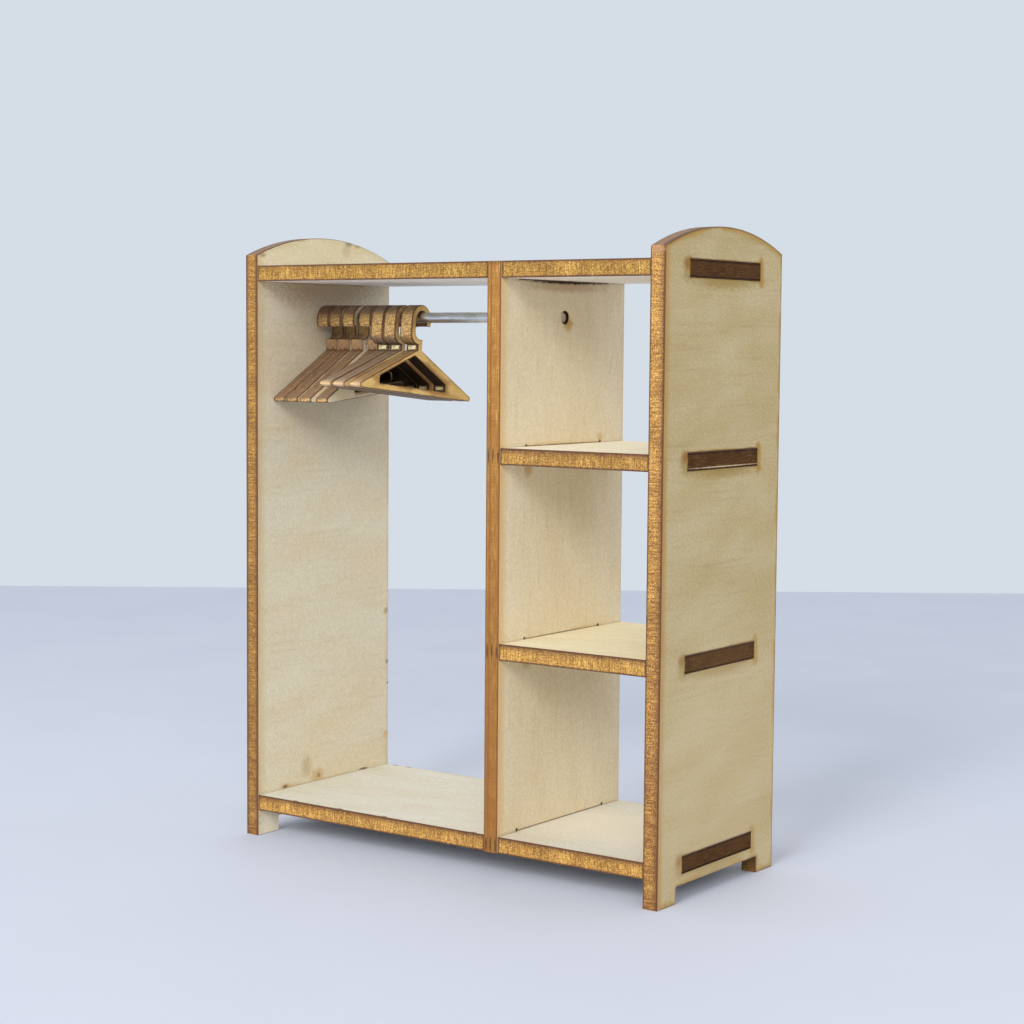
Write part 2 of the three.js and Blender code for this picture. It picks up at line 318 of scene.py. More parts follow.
def cut_edge(
    name, centre, across, gold, brown, line, dull=None, *, spots, sink=0.0, smoked=0.0, charred=0.3,
    grain=0.3, speckled=1.0, glint=0.42, gloss=0.3,
):
    """The laser-cut edge of the sheet: speckled, with its arrises and the walls of openings burnt dark."""
    finish = Finish(name, centre, 0.5)
    finish.shader.inputs["Specular IOR Level"].default_value = gloss
    fibres = finish.cloud(0.2, finish.stretched([1.0 if a == across else grain for a in range(3)]), 3.0, 0.6)
    striations = finish.cloud(0.17, finish.stretched([0.1 if a == across else 1.0 for a in range(3)]))
    specks = finish.cloud(0.17, detail=2.0, rough=0.6)
    axes = finish.node("SeparateXYZ", {0: finish.place}).outputs
    # Uprights' cut edges grow darker towards the bottom: painted shade.
    painted_shade_below = finish.ramp(axes[2], -half_height, half_height, -sink, 0.0)
    patchy = 0.3
    pattern = finish.total(
        (fibres, 1.5 - speckled), (striations, 0.55 * speckled), (specks, speckled),
        (finish.cloud(5.0), patchy), (painted_shade_below, 1.0),
    )
    middle = (1.5 + 0.55 * speckled + patchy) / 2
    wood = finish.mix(finish.ramp(pattern, middle - 0.26, middle + 0.22), brown, gold)
    # Bright pale specks on the highest parts of the pattern: painted highlights.
    glints = finish.ramp(pattern, middle + 0.06, middle + 0.3, 0.0, glint)
    wood = finish.mix(glints, wood, finish.mix(0.55, toned(gold, 1.5), pale_glint))
    # Cut edges that lie flat, such as the arch and the hangers' arms, get a duller colour with dark ply
    # lines: painted shade, as if they caught less of the front light than the edges that face forward. The
    # ply lines are the sheet's own.
    if dull:
        plies = finish.cloud(1.0, finish.stretched([1.0 if a == across else 0.04 for a in range(3)]))
        flat_edge_shade = finish.mix(finish.ramp(pattern, middle - 0.3, middle + 0.3), toned(dull, 0.4), dull)
        flat_edge_shade = finish.mix(finish.ramp(plies, 0.46, 0.58, 0.0, 0.75), flat_edge_shade, toned(dull, 0.3))
        wood = finish.mix(finish.ramp(finish.attribute("lying_flat"), 0.1, 0.7, 0.0, 0.92), wood, flat_edge_shade)
    ragged = finish.cloud(0.8, detail=3.0)
    smoked_side = finish.total((axes[across], math.copysign(1.0, smoked)), (ragged, 0.6))
    wood = finish.mix(finish.ramp(smoked_side, 0.3, 1.9, 0.0, abs(smoked)), wood, line)
    edge = finish.total((finish.math("ABSOLUTE", axes[across], 0.0), 1.0), (ragged, 0.3))
    wood = finish.mix(finish.ramp(edge, ply / 2 - charred, ply / 2, 0.0, 0.9), wood, line)
    wood = finish.mix(finish.math("MULTIPLY", finish.attribute("burnt"), 0.93), wood, colour(44, 29, 16))
    wood = finish.stain(wood, spots)
    finish.relief(pattern, 0.1 * glint)
    return finish.paint(wood)


scorch_yellow = colour(184, 148, 80)
rim_brown = colour(110, 76, 44)
burnt_line = colour(88, 54, 36)
pale_glint = colour(255, 222, 158)

arch_radius = (half_depth**2 + arch_rise**2) / (2 * arch_rise)
arch_centre = corner_height + arch_rise - arch_radius
arch_turn = 2 * math.degrees(math.asin(half_depth / arch_radius))


def side_panel(play, *undersides):
    cut_out = half_depth - foot_width
    fillet = cut_out - foot_fillet
    sheet = bmesh.new()
    follow(
        sheet, (-half_depth, 0), (-cut_out, 0), (-cut_out, foot_height - foot_fillet),
        (-fillet, foot_height - foot_fillet, -90), (fillet, foot_height),
        (fillet, foot_height - foot_fillet, -90), (cut_out, 0), (half_depth, 0),
        (half_depth, corner_height), (0, arch_centre, arch_turn), (-half_depth, 0),
    )
    for underside in undersides:
        tab_slot(sheet, underside, play)
    return sheet


tight = 0.02  # the play of the tabs in this panel's two slots
left_sheet = side_panel(tight, bottom_board, top_board)
rod_hole(left_sheet)
cut_from_sheet(left_sheet, panel_rings)
left_middle = (-outer_face + ply / 2, 0, half_height)
# The duller colour of flat-lying cut edges, such as the arch's: painted shade.
arch_dull = colour(164, 124, 92)
soot = colour(72, 62, 42)
ember = colour(168, 110, 60)
tan_smoke = colour(176, 150, 98)
gold_smoke = colour(200, 160, 88)
nick_brown = colour(92, 62, 36)
full_height = 200


def mark_on(face, back, up, reach_back, reach_up, shade, strength):
    """A mark on an upright's face: how far back and up its middle is, and its reach each way."""
    return ((face, back, up), (1, reach_back, reach_up), shade, strength)


arch_marks = [
    mark_on(-inner_face, 7.0, 116.2, 1.3, 0.7, soot, 0.9),
    mark_on(-inner_face, 6.2, 114.8, 1.5, 1.6, colour(152, 146, 108), 0.5),
    mark_on(-inner_face, 9.8, 115.8, 1.3, 0.4, ember, 0.8),
    mark_on(-inner_face, -7.6, 116.4, 1.6, 0.4, ember, 0.6),
    mark_on(-inner_face, -18.6, 113.1, 1.2, 0.5, soot, 0.7),
    mark_on(-inner_face, 0.6, 111.7, 0.7, 0.6, tan_smoke, 0.7),
]
back_edge_marks = [
    mark_on(-inner_face, 19.3, 40.6, 1.0, 0.8, tan_smoke, 0.8),
    mark_on(-inner_face, 19.7, 29.8, 0.6, 0.6, soot, 0.6),
    mark_on(-inner_face, 19.8, 25.3, 0.35, 0.35, soot, 0.8),
    mark_on(-inner_face, 19.3, 14.5, 0.8, 1.1, gold_smoke, 0.6),
]
marks_above_the_board = [
    mark_on(-inner_face, -12.0, 8.5, 1.6, 0.7, gold_smoke, 0.6),
    mark_on(-inner_face, -12.2, 8.4, 0.8, 0.35, soot, 0.8),
    mark_on(-inner_face, -5.7, 11.4, 1.8, 2.2, tan_smoke, 0.5),
    mark_on(-inner_face, -2.4, 9.2, 2.4, 1.6, gold_smoke, 0.6),
    mark_on(-inner_face, -2.1, 9.1, 0.6, 0.6, nick_brown, 0.5),
    mark_on(-inner_face, 11.9, 8.2, 1.6, 0.3, nick_brown, 0.8),
]
# A brown band just under the top board: painted shade under the board.
painted_shade_under_the_top = mark_on(-inner_face, 0, 107.5, 18, 4.5, colour(150, 116, 70), 0.6)
front_smoke = mark_on(-inner_face, -half_depth, half_height, 2.4, full_height, colour(204, 176, 116), 0.45)
# A pale patch on the front foot: painted light, where the lamps reach the foot.
painted_light_on_foot = mark_on(-inner_face, -16, 1, 4.5, 5, colour(252, 238, 208), 0.9)
smoky_arch = mark_on(-inner_face, 0, 115, 24, 5, colour(206, 192, 152), 0.4)
left_marks = arch_marks + back_edge_marks + marks_above_the_board
left_marks += [painted_shade_under_the_top, front_smoke, painted_light_on_foot, smoky_arch]
front_edge_nicks = [
    ((-inner_face, -half_depth, height), (0.6, 1, 0.8), nick_brown, 0.8) for height in (37.0, 25.9, 14.6)
]
left_panel = finished(
    left_sheet, "left_side_panel_plywood", upright(-outer_face),
    veneer(
        "left_side_panel_face", left_middle, 1, colour(223, 215, 192), colour(221, 207, 177), scorch_yellow,
        rim_brown, left_marks, smoky=0.3, smoky_openings=0.4, burn=0.3,
    ),
    cut_edge(
        "left_side_panel_cut", left_middle, 0, colour(177, 131, 60), colour(104, 68, 34), burnt_line,
        arch_dull, sink=0.07, charred=0.75, spots=front_edge_nicks,
    ),
)
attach(left_panel, "carcass")
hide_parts("left_side_panel")

# Right side panel
# The same outline as the left one, without the rod hole. Four slots go through it, and the ends
# of the boards' and shelves' tabs show in them, level with its outer face.

lower_shelf = 40.0
upper_shelf = 75.0
right_sheet = side_panel(slot_clearance, bottom_board, lower_shelf, upper_shelf, top_board)
cut_from_sheet(right_sheet, panel_rings)
right_middle = (outer_face - ply / 2, 0, half_height)
olive_smoke = colour(152, 124, 60)
gold_scorch = colour(166, 122, 40)
smoky_front = mark_on(outer_face, -half_depth, half_height, 1.7, full_height, colour(180, 138, 72), 0.8)
pale_below = mark_on(outer_face, 0, 20, 30, 32, colour(212, 192, 154), 0.3)
slot_marks = []
for board in (bottom_board, lower_shelf, upper_shelf, top_board):
    slot_marks += [
        mark_on(outer_face, 0, board - 0.1, 13.5, 2.0, olive_smoke, 0.8),
        mark_on(outer_face, -12.3, board + 1.0, 2.4, 2.0, olive_smoke, 0.7),
        mark_on(outer_face, -12.8, board + 2.4, 1.7, 1.3, colour(142, 96, 26), 0.85),
        mark_on(outer_face, 12.2, board + 1.6, 1.4, 2.4, gold_scorch, 0.8),
        mark_on(outer_face, 12.5, board - 0.4, 1.2, 1.2, gold_scorch, 0.7),
        mark_on(outer_face, 12.3, board + 3.3, 1.0, 1.2, gold_scorch, 0.7),
    ]
rear_foot_front = (outer_face - ply / 2, half_depth - foot_width, foot_height / 2)
# A dark patch on the rear foot's front wall: painted shade under the panel.
painted_shade_on_rear_foot = (rear_foot_front, (2.4, 0.8, 3.4), colour(96, 66, 30), 0.6)
peak_mark = ((outer_face - 1.5, -half_depth, corner_height - 0.6), (1.8, 1, 0.9), arch_dull, 0.8)
right_panel = finished(
    right_sheet, "right_side_panel_plywood", upright(inner_face),
    veneer(
        "right_side_panel_face", right_middle, 1, colour(194, 176, 136), colour(184, 163, 114),
        colour(170, 130, 50), rim_brown, slot_marks + [smoky_front, pale_below], opening_reach=0.7,
        smoky=0.95, smoky_openings=0.8, burn=0.8, rim_reach=0.7, slant=35.0, fleck=2.0, grit=0.7,
    ),
    cut_edge(
        "right_side_panel_cut", right_middle, 0, colour(203, 156, 80), colour(116, 75, 38), burnt_line,
        arch_dull, sink=0.12, smoked=0.7, spots=[peak_mark, painted_shade_on_rear_foot],
    ),
)
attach(right_panel, "carcass")
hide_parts("right_side_panel")

# Divider
# The upright between the hanging bay and the shelves. Its middle stops at the two long boards, and
# its four horns run past them in their notches. The shelves plug into its two slots.

divider_left = 10.5
divider_right = divider_left + ply
neck_side = 14.0  # the notches in the long boards reach in to here
horn_face = neck_side + slot_clearance  # the horns run from here to the front and back edges
top_of_carcass = top_board + ply
divider_foot = bottom_board + ply + slot_clearance
divider_head = top_board - slot_clearance

divider_sheet = bmesh.new()
follow(
    divider_sheet, (-half_depth, bottom_board), (-horn_face, bottom_board), (-horn_face, divider_foot),
    (horn_face, divider_foot), (horn_face, bottom_board), (half_depth, bottom_board),
    (half_depth, top_of_carcass), (horn_face, top_of_carcass), (horn_face, divider_head),
    (-horn_face, divider_head), (-horn_face, top_of_carcass), (-half_depth, top_of_carcass),
    (-half_depth, bottom_board),
)
tab_slot(divider_sheet, lower_shelf)
tab_slot(divider_sheet, upper_shelf)
rod_hole(divider_sheet)
cut_from_sheet(divider_sheet, panel_rings)
divider_middle = (divider_left + ply / 2, 0, half_height)
black_scorch = colour(42, 28, 19)
divider_marks = [
    mark_on(divider_right, -half_depth, half_height, 2.3, full_height, colour(226, 190, 132), 0.8),
    mark_on(divider_right, 0, top_board - 1.0, 14.0, 1.3, colour(160, 120, 70), 0.5),
    mark_on(divider_right, 0, top_board - 0.2, 15.5, 0.5, black_scorch, 1.0),
    mark_on(divider_right, 1.0, rod_height - 1.2, 1.8, 1.4, gold_smoke, 0.9),
    mark_on(divider_right, tab_side, upper_shelf + 4.0, 1.1, 0.9, gold_smoke, 0.5),
]
corner_burns = [(side, bottom_board + ply + 0.3) for side in (-neck_side, neck_side)]
for board in (lower_shelf, upper_shelf):
    divider_marks.append(mark_on(divider_right, -11.3, board - 1.1, 1.6, 1.6, gold_smoke, 0.7))
    divider_marks.append(mark_on(divider_right, 0, board + ply, 13, 0.2, black_scorch, 0.6))
    corner_burns += [(side, board + ply + 0.15) for side in (-tab_side, tab_side)]
divider_marks += [mark_on(divider_right, y, z, 0.4, 0.35, black_scorch, 1.0) for y, z in corner_burns]
divider_cut_marks = [
    ((divider_left + 0.9, -half_depth, half_height), (0.26, 1, full_height), colour(120, 74, 36), 0.65),
    ((divider_left + ply / 2, -half_depth, top_of_carcass), (2.4, 1, 0.9), nick_brown, 0.6),
]
divider_cut_marks += [
    ((x, -half_depth, board + ply / 2), (0.22, 1, 1.5), black_scorch, 0.8)
    for x in (divider_left + 0.5, divider_left + 1.5, divider_right - 0.4)
    for board in (bottom_board, lower_shelf, upper_shelf)
]
divider = finished(
    divider_sheet, "divider_plywood", upright(divider_left),
    veneer(
        "divider_face", divider_middle, 2, colour(239, 226, 198), colour(234, 218, 186),
        colour(226, 184, 116), colour(150, 110, 62), divider_marks, streak=0.2, fibre=0.15, reach=1.0,
        opening_reach=1.0, smoky=0.3, smoky_openings=0.55, burn=0.2,
    ),
    cut_edge(
        "divider_cut", divider_middle, 0, colour(174, 126, 57), colour(134, 88, 36), colour(112, 70, 36),
        sink=0.2, charred=0.22, grain=0.06, speckled=0.5, glint=0.38, spots=divider_cut_marks,
    ),
)
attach(divider, "carcass")
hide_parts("divider")

# Bottom board and top board
# The two long boards. Tabs at both ends go through the side panels, and a notch in each long edge
# laps over a horn of the divider. They are set back a little from the uprights' edges.

board_edge = half_depth - 0.2
notch_left = divider_left - slot_clearance
notch_right = divider_right + slot_clearance
tab_brown = colour(90, 62, 35)
tab_dark = colour(70, 46, 24)
tab_end_material = 2
underside_material = 3


def lying(underside):
    return Matrix.Translation((0, 0, underside * mm)) @ Matrix.Scale(mm, 4)


def burnt_corners(underside, *ends):
    """Dark marks down the front and back edges, where the outline turns in to a tab or a notch."""
    corners = [(x, side, underside + ply / 2) for x in ends for side in (-board_edge, board_edge)]
    return [(corner, (0.34, 1, 2.3), black_scorch, 0.7) for corner in corners]


def long_board(name, underside, pale, warm, gold, brown, nicks=(), patches=(), smoked=0.8):
    sheet = bmesh.new()
    tab_end = inner_face + ply
    follow(
        sheet, (-inner_face, -board_edge), (notch_left, -board_edge), (notch_left, -neck_side),
        (notch_right, -neck_side), (notch_right, -board_edge), (inner_face, -board_edge),
        (inner_face, -tab_side), (tab_end, -tab_side), (tab_end, tab_side), (inner_face, tab_side),
        (inner_face, board_edge), (notch_right, board_edge), (notch_right, neck_side),
        (notch_left, neck_side), (notch_left, board_edge), (-inner_face, board_edge),
        (-inner_face, tab_side), (-tab_end, tab_side), (-tab_end, -tab_side), (-inner_face, -tab_side),
        (-inner_face, -board_edge),
    )
    middle = (0, 0, underside + ply / 2)
    corners = burnt_corners(underside, -inner_face, notch_left, notch_right, inner_face)
    return finish_board(
        sheet, name, underside, middle, pale, warm, gold, brown, [*nicks, *patches], [*nicks, *corners],
        smoked=smoked,
    )


def finish_board(
    sheet, name, underside, middle, pale, warm, gold, brown, spots, corners, tab_spots=(), smoked=0.8,
):
    cut_from_sheet(sheet, panel_rings)
    for face in sheet.faces:
        if abs(face.normal.x) > 0.9 and abs(face.calc_center_median().x) > outer_face - arris:
            face.material_index = tab_end_material
    return finished(
        sheet, name + "_plywood", lying(underside),
        veneer(name + "_face", middle, 0, pale, warm, scorch_yellow, rim_brown, spots, smoky=0.25, burn=0.5),
        cut_edge(name + "_cut", middle, 2, gold, brown, burnt_line, smoked=smoked, spots=corners),
        cut_edge(
            name + "_tab_ends", middle, 2, tab_brown, tab_dark, colour(26, 17, 12), charred=0.2, grain=0.08,
            speckled=0.4, glint=0.1, gloss=0.02, spots=tab_spots,
        ),
    )


floor_of_the_bays = bottom_board + ply
bottom_nicks = [
    ((x, -board_edge, floor_of_the_bays), (0.9, 0.7, 0.5), nick_brown, 0.9)
    for x in (-35.2, -23.9, -13.0, 7.9)
]
bottom_nicks += [
    ((x, board_edge, floor_of_the_bays), (1.0, 0.6, 0.5), nick_brown, 0.9) for x in (-42.0, -38.6)
]
# A paler patch on the board in the right-hand bay: painted light, under the lower shelf.
painted_light_in_right_bay = ((30, 0, floor_of_the_bays), (26, 17, 0.6), colour(240, 232, 216), 0.6)
bottom_piece = long_board(
    "bottom_board", bottom_board, colour(214, 211, 198), colour(211, 204, 186), colour(195, 148, 70),
    colour(110, 73, 36), bottom_nicks, [painted_light_in_right_bay],
)
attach(bottom_piece, "carcass")
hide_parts("bottom_board")

top_piece = long_board(
    "top_board", top_board, colour(216, 211, 196), colour(211, 204, 186), colour(180, 138, 60),
    colour(106, 71, 33), smoked=0.2,
)
# The underside gets a much paler copy of the face finish: painted light, standing in for light bounced up
# onto it.
top_piece.data.materials.append(veneer(
    "top_board_underside_painted_light", (0, 0, top_board), 0, colour(250, 245, 238), colour(246, 239, 228),
    scorch_yellow, rim_brown, smoky=0.25, burn=0.5,
))
for face in top_piece.data.polygons:
    if face.normal.z < -0.9:
        face.material_index = underside_material
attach(top_piece, "carcass")
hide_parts("top_board")

# Lower shelf and upper shelf
# Short boards of the right-hand bay. One tab goes through the divider and one through the right
# side panel, and the shoulders beside the tabs butt against both.


def shelf(name, underside, pale, warm, gold, brown, tab_spots):
    sheet = bmesh.new()
    left_end, right_end = divider_right - ply, inner_face + ply
    follow(
        sheet, (divider_right, -board_edge), (inner_face, -board_edge), (inner_face, -tab_side),
        (right_end, -tab_side), (right_end, tab_side), (inner_face, tab_side), (inner_face, board_edge),
        (divider_right, board_edge), (divider_right, tab_side), (left_end, tab_side),
        (left_end, -tab_side), (divider_right, -tab_side), (divider_right, -board_edge),
    )
    middle = ((divider_right + inner_face) / 2, 0, underside + ply / 2)
    corners = burnt_corners(underside, divider_right, inner_face)
    return finish_board(sheet, name, underside, middle, pale, warm, gold, brown, (), corners, tab_spots)


lighter_tab_end = mark_on(outer_face, 0, lower_shelf + ply / 2, 15, 4, colour(112, 84, 54), 0.3)
lower_piece = shelf(
    "lower_shelf", lower_shelf, colour(236, 226, 195), colour(229, 215, 179), colour(198, 152, 72),
    colour(112, 75, 36), [lighter_tab_end],
)
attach(lower_piece, "carcass")
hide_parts("lower_shelf")

pale_sliver = mark_on(outer_face, 0, upper_shelf + 0.3, 14, 0.14, colour(196, 172, 136), 1.0)
upper_piece = shelf(
    "upper_shelf", upper_shelf, colour(238, 232, 212), colour(234, 224, 198), colour(182, 138, 64),
    colour(106, 70, 34), [pale_sliver],
)
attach(upper_piece, "carcass")
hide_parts("upper_shelf")

# Hanging rod
# A length of drawn steel wire with its cut ends dressed. It lies loose in the holes of the left
# side panel and the divider, and its ends stop just short of their outer faces.

rod_radius = 1.0
rod_end_inset = 0.4
rod_left = -outer_face + rod_end_inset
rod_right = divider_right - rod_end_inset
rod_end_round = 0.15
nipped_radius = 0.5
nipped_depth = 0.12  # the cutters leave each end dished
rod_steps = 64

rod_shape = bmesh.new()
profile_tip = bmesh.ops.create_vert(rod_shape, co=(rod_left + nipped_depth, 0, 0))["vert"][0]
for x, out in (
    (rod_left + nipped_depth, nipped_radius), (rod_left, nipped_radius + nipped_depth),
    (rod_left, rod_radius - rod_end_round), (rod_left + rod_end_round, rod_radius),
    (rod_right - rod_end_round, rod_radius), (rod_right, rod_radius - rod_end_round),
    (rod_right, nipped_radius + nipped_depth), (rod_right - nipped_depth, nipped_radius),
    (rod_right - nipped_depth, 0),
):
    profile_tip = bmesh.ops.extrude_vert_indiv(rod_shape, verts=[profile_tip])["verts"][0]
    profile_tip.co = (x, out, 0)
bmesh.ops.spin(
    rod_shape, geom=rod_shape.verts[:] + rod_shape.edges[:], cent=(0, 0, 0), axis=(1, 0, 0),
    angle=math.tau, steps=rod_steps, use_merge=True,
)
bmesh.ops.remove_doubles(rod_shape, verts=rod_shape.verts, dist=touching)
bmesh.ops.recalc_face_normals(rod_shape, faces=rod_shape.faces)
for face in rod_shape.faces:
    face.smooth = True
    x, y, z = face.calc_center_median()
    face.material_index = int(math.hypot(y, z) < rod_radius - rod_end_round)
for edge in rod_shape.edges:
    edge.smooth = edge.calc_face_angle(0) < sharp_turn

steel = Finish("drawn_steel", (0, 0, rod_height), 0.32)
steel.shader.inputs["Metallic"].default_value = 1.0
drawing_lines = steel.cloud(0.12, steel.stretched([0.02, 1.0, 1.0]), detail=3.0)
dull_patches = steel.cloud(1.4, steel.stretched([0.4, 1.0, 1.0]), detail=4.0)
steel_colour = steel.mix(steel.ramp(dull_patches, 0.4, 0.7), colour(216, 223, 229), colour(188, 191, 186))
drawn = steel.ramp(drawing_lines, 0.45, 0.75, 0.0, 0.35)
steel_colour = steel.mix(drawn, steel_colour, colour(150, 150, 142))
steel.tree.links.new(steel.ramp(dull_patches, 0.3, 0.75, 0.24, 0.46), steel.shader.inputs["Roughness"])
steel.relief(drawing_lines, 0.01)
nipped = Finish("nipped_steel", (0, 0, rod_height), 0.6)
nipped.shader.inputs["Metallic"].default_value = 0.6
tears = nipped.cloud(0.25, nipped.stretched([1.0, 0.3, 1.0]), detail=3.0)
nipped_colour = nipped.mix(nipped.ramp(tears, 0.35, 0.65), colour(184, 170, 142), colour(224, 214, 192))
nipped.relief(tears, 0.04)
rod = finished(
    rod_shape, "hanging_rod_steel", Matrix.Translation((0, 0, rod_height * mm)) @ Matrix.Scale(mm, 4),
    steel.paint(steel_colour), nipped.paint(nipped_colour),
)
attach(rod, "rod")
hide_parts("hanging_rod")

# Hangers
# Seven alike, cut from the same sheet: an open hook with a rounded heel, a short collar, two arms
# and a bar around a window. They hang loose, and each tips down a little on its open side.

bore_radius = 1.7
hook_band = 1.2
mouth_depth = 1.0
throat_depth = 2.2
throat_radius = 1.6
heel_depth = 2.6
heel_radius = 2.2
collar_side = 0.6
collar_height = 2.1
collar_front = 1.1
half_span = 17.0
arms_height = 8.5
tip_radius = 0.5
bar_height = 1.15
closed_arm = 0.65
open_arm = 1.85
window_end = 1.5
window_rounding = 0.3
hanger_rings = (arris, 0.08, 0.1)
hook_rest_gap = 0.25  # between the rod's top and the hook that hangs on it
hook_centre = rod_height + rod_radius + hook_rest_gap - bore_radius
hang_tilt = 5.7048  # degrees, where the hanger balances on its hook
torn_side = 0.45
torn_height = 0.1
torn_slope = 0.14
torn_material = 2
facing_front = 4  # the first hangers open to the front, the rest to the back
hanger_bodies = (
    "first_hanger", "second_hanger", "third_hanger", "fourth_hanger", "fifth_hanger", "sixth_hanger",
    "seventh_hanger",
)

hook_radius = bore_radius + hook_band
heel_centre = -hook_radius + heel_radius
collar_top = -throat_depth - throat_radius
collar_foot = collar_top - collar_height
underside = collar_foot - arms_height
tip_x, tip_y = half_span - tip_radius, underside + tip_radius
shoulder_reach = math.hypot(tip_x - collar_side, tip_y - collar_foot)
tip_angle = math.degrees(
    math.atan2(tip_y - collar_foot, tip_x - collar_side) + math.asin(tip_radius / shoulder_reach)
) + 90
arm_end = (
    tip_x + tip_radius * math.cos(math.radians(tip_angle)),
    tip_y + tip_radius * math.sin(math.radians(tip_angle)),
)
outer_mouth = math.degrees(math.asin(mouth_depth / hook_radius))
inner_mouth = math.degrees(math.asin(mouth_depth / bore_radius))
inner_mouth_x = math.sqrt(bore_radius**2 - mouth_depth**2)

slope = math.tan(math.radians(90 - tip_angle))
peak = collar_foot + slope * collar_side
closed_line = peak - closed_arm / math.sin(math.radians(tip_angle))
open_line = peak - open_arm / math.sin(math.radians(tip_angle))
window_bottom = underside + bar_height
window_shoulder = window_bottom + window_end
window_back = (window_shoulder - closed_line) / slope
window_front = (open_line - window_shoulder) / slope
window_peak = ((open_line - closed_line) / (2 * slope), (open_line + closed_line) / 2)


def hanger_shape():
    sheet = bmesh.new()
    follow(
        sheet, (collar_side, collar_top), (collar_side, collar_foot),
        arm_end, (tip_x, tip_y, -90 - tip_angle), (-tip_x, underside), (-tip_x, tip_y, -90 - tip_angle),
        (-collar_side, collar_foot), (-collar_side, collar_foot + collar_front),
        (heel_centre, -heel_depth - heel_radius), (heel_centre, -heel_depth, -90), (-hook_radius, 0),
        (0, 0, -180 - outer_mouth), (inner_mouth_x, -mouth_depth), (0, 0, 180 + inner_mouth),
        (-bore_radius, -throat_depth), (throat_radius - bore_radius, -throat_depth, 90),
        (collar_side, collar_top),
    )
    window = follow(
        sheet, window_peak, (window_back, window_shoulder), (window_back, window_bottom),
        (window_front, window_bottom), (window_front, window_shoulder), window_peak,
    )
    pierce(sheet, window)
    bmesh.ops.bevel(
        sheet, geom=window, offset=window_rounding, offset_type="OFFSET", segments=4, profile=0.5,
        affect="VERTICES", material=-1,
    )
    cut_from_sheet(sheet, hanger_rings)
    leave_torn_tabs(sheet)
    return sheet


def leave_torn_tabs(sheet):
    """Raises the torn ends of the two small tabs that held the hanger in the sheet while it was cut."""
    walls = ((-collar_side, collar_foot, collar_top), (window_front, window_bottom, window_shoulder))
    for at, low, high in walls:
        wall = [
            face for face in sheet.faces
            if face.normal.x < -0.99 and abs(face.calc_center_median().x - at) < touching
            and low < face.calc_center_median().y < high
        ][:1]
        for side in (torn_side, ply - torn_side):
            parts = {part for face in wall for part in (*face.verts, *face.edges, face)}
            split = bmesh.ops.bisect_plane(
                sheet, geom=list(parts), plane_co=(0, 0, side), plane_no=(0, 0, 1)
            )["geom"]
            wall = [part for part in split if isinstance(part, bmesh.types.BMFace)]
        wall = [face for face in wall if torn_side < face.calc_center_median().z < ply - torn_side]
        bmesh.ops.inset_individual(
            sheet, faces=wall, thickness=torn_slope, depth=torn_height, use_even_offset=True
        )
        for face in wall:
            face.material_index = torn_material


def torn_wood(name, centre):
    """Fresh wood, broken across its fibres."""
    finish = Finish(name, centre, 0.8)
    finish.shader.inputs["Specular IOR Level"].default_value = 0.2
    splinters = finish.cloud(0.3, finish.stretched((0.3, 1.0, 1.0)), detail=3.0)
    wood = finish.mix(finish.ramp(splinters, 0.35, 0.65), colour(168, 150, 104), colour(236, 226, 180))
    finish.relief(splinters, 0.1)
    return finish.paint(wood)


pale_sheet = (colour(244, 232, 200), colour(238, 222, 182))
tan_sheet = (colour(222, 200, 150), colour(200, 168, 112))
honey_sheet = (colour(238, 202, 128), colour(224, 184, 110))
bright_cut = (colour(236, 194, 124), colour(108, 68, 38))
smoked = (colour(188, 150, 96), colour(104, 74, 44), colour(150, 116, 88), *pale_sheet)
browned = (colour(214, 174, 104), colour(112, 80, 44), colour(156, 126, 98), *pale_sheet)
golden = (*bright_cut, colour(156, 134, 114), *tan_sheet)
amber = (*bright_cut, colour(176, 140, 96), *honey_sheet)
tints = (smoked, smoked, browned, browned, golden, golden, amber)
hanger_scorch = colour(158, 112, 58)

for number, (body, tint) in enumerate(zip(hanger_bodies, tints), 1):
    turned = number <= facing_front
    name = f"hanger_{number}"
    gold, brown, dull, pale, warm = tint
    along_the_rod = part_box(name)[0].x / mm + ply / 2
    middle = (along_the_rod, 0, hook_centre)
    turn = Matrix.Rotation(math.pi, 4, "Z") if turned else Matrix.Identity(4)
    placing = (
        Matrix.Translation((0, 0, hook_centre * mm))
        @ Matrix.Rotation(math.radians(hang_tilt if turned else -hang_tilt), 4, "X")
        @ turn @ upright(-ply / 2)
    )
    placing = Matrix.Translation((along_the_rod * mm, 0, 0)) @ placing
    closed_tip, behind_collar, foot_of_collar, by_torn_tab = (
        placing @ Vector((x, y, ply / 2)) / mm for x, y in (
            (-tip_x, tip_y), (collar_side, collar_foot + collar_height / 2), (collar_side, collar_foot),
            (-collar_side, collar_foot + collar_front / 2),
        )
    )
    marks = [
        (closed_tip, (1.6, 1.5, 1.0), colour(204, 172, 136), 0.65),
        (behind_collar, (2.4, 0.8, 1.5), dull, 0.7),
        (foot_of_collar, (2.4, 0.8, 0.45), nick_brown, 0.9),
        (by_torn_tab, (2.4, 1.3, 1.5), black_scorch, 0.85),
    ]
    hanger = finished(
        hanger_shape(), name + "_plywood", placing,
        veneer(
            name + "_face", middle, 1, pale, warm, hanger_scorch, rim_brown, reach=0.7, smoky=0.6, burn=0.8
        ),
        cut_edge(name + "_cut", middle, 0, gold, brown, burnt_line, dull, glint=0.65, spots=marks),
        torn_wood(name + "_torn_tabs", middle),
    )
    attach(hanger, body)
    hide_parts(name)

# Floor and backdrop
# A plain pale floor that ends a little way behind the wardrobe, before a plain pale backdrop. The
# backdrop is the colour that the surroundings show to the camera and in the steel.

floor_behind = 0.430
floor_in_front = 0.2  # it is a little darker from here on to its far edge
floor_reach = 3.0
view_turn = math.radians(35.94)  # its far edge lies level across the picture

